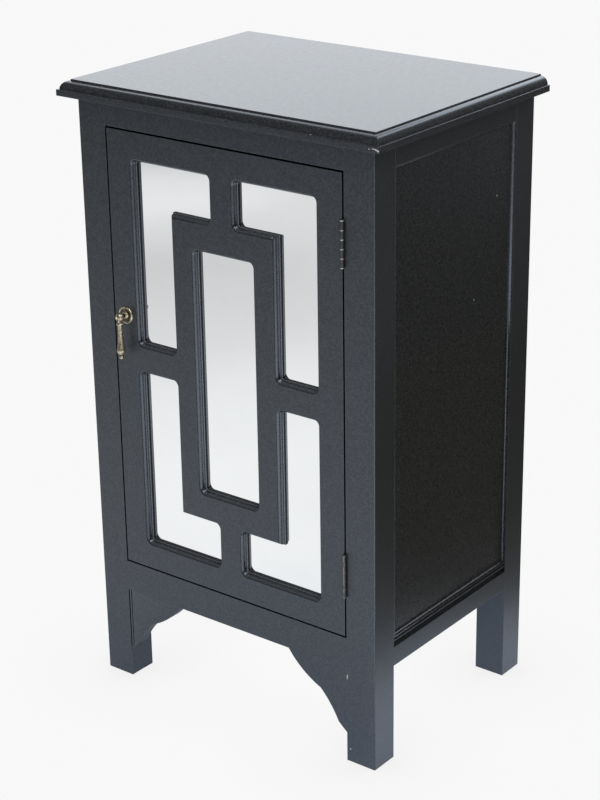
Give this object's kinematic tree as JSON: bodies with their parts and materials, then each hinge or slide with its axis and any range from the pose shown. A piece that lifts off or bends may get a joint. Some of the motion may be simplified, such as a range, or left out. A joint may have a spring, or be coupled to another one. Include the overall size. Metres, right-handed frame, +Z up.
{
  "type": "accent cabinet",
  "caption": "Small upright accent cabinet: square legs, moulded top, panelled sides, shaped apron, and a hinged fretwork door over a mirror with a drop pull.",
  "frame": {"origin": "on the floor, under the middle of the top board's outline", "axes": "+X to the right of someone who faces the door, +Y to the back, +Z up"},
  "size_m": [0.483, 0.355, 0.813],
  "materials": {
    "black_paint": "satin black paint over wood, lightly rubbed along the edges",
    "stained_wood": "dark stained board, matt",
    "backing_board": "bare hardboard",
    "dowel_wood": "bare beech",
    "mirror_glass": "polished silvered glass",
    "antique_brass": "aged, darkened in the hollows",
    "hinge_brass": "dull brass, partly painted over",
    "screw_steel": "zinc plated",
    "catch_plastic": "moulded brown plastic",
    "magnet_steel": "plain steel-faced magnet"
  },
  "bodies": {
    "cabinet": {"top_board": "black_paint", "front_left_leg": "black_paint", "front_right_leg": "black_paint", "rear_left_leg": "black_paint", "rear_right_leg": "black_paint", "front_top_rail": "black_paint", "front_bottom_rail": "black_paint", "left_bracket": "black_paint", "right_bracket": "black_paint", "left_top_rail": "black_paint", "left_bottom_rail": "black_paint", "right_top_rail": "black_paint", "right_bottom_rail": "black_paint", "left_side_panel": "black_paint", "right_side_panel": "black_paint", "left_bead_top": "black_paint", "left_bead_bottom": "black_paint", "left_bead_front": "black_paint", "left_bead_rear": "black_paint", "right_bead_top": "black_paint", "right_bead_bottom": "black_paint", "right_bead_front": "black_paint", "right_bead_rear": "black_paint", "rear_top_rail": "stained_wood", "rear_bottom_rail": "stained_wood", "back_panel": "stained_wood", "bottom_board": "stained_wood", "shelf": "stained_wood", "left_bottom_cleat": "stained_wood", "right_bottom_cleat": "stained_wood", "left_shelf_cleat": "stained_wood", "right_shelf_cleat": "stained_wood", "top_cleats": "stained_wood", "rail_dowels": "dowel_wood", "upper_hinge_frame_leaf": "hinge_brass", "upper_hinge_pin": "hinge_brass", "lower_hinge_frame_leaf": "hinge_brass", "lower_hinge_pin": "hinge_brass", "hinge_frame_screws": "hinge_brass", "top_screws": "screw_steel", "back_nails": "screw_steel", "catch_screws": "screw_steel", "catch_body": "catch_plastic", "catch_magnet": "magnet_steel"},
    "door": {"door_lattice": "black_paint", "mirror": "mirror_glass", "mirror_backing": "backing_board", "mirror_clips": "screw_steel", "clip_screws": "screw_steel", "upper_hinge_door_leaf": "hinge_brass", "lower_hinge_door_leaf": "hinge_brass", "hinge_door_screws": "hinge_brass", "pull_rosette": "antique_brass", "pull_post": "antique_brass", "pull_pivot_pin": "antique_brass", "pull_washer": "screw_steel", "pull_nut": "screw_steel", "strike_plate": "screw_steel", "strike_screws": "screw_steel"},
    "pull_pendant": {"pull_pendant": "antique_brass"}
  },
  "joints": [
    {"name": "door_hinge", "type": "hinge", "parent": "cabinet", "child": "door", "pos_m": [0.1794, -0.1621, 0.46675], "axis": [0, 0, 1], "range_deg": [0, 170]},
    {"name": "pull_swing", "type": "hinge", "parent": "door", "child": "pull_pendant", "pos_m": [-0.1602, -0.1715, 0.5215], "axis": [-1, 0, 0], "range_deg": [-8, 90]}
  ]
}
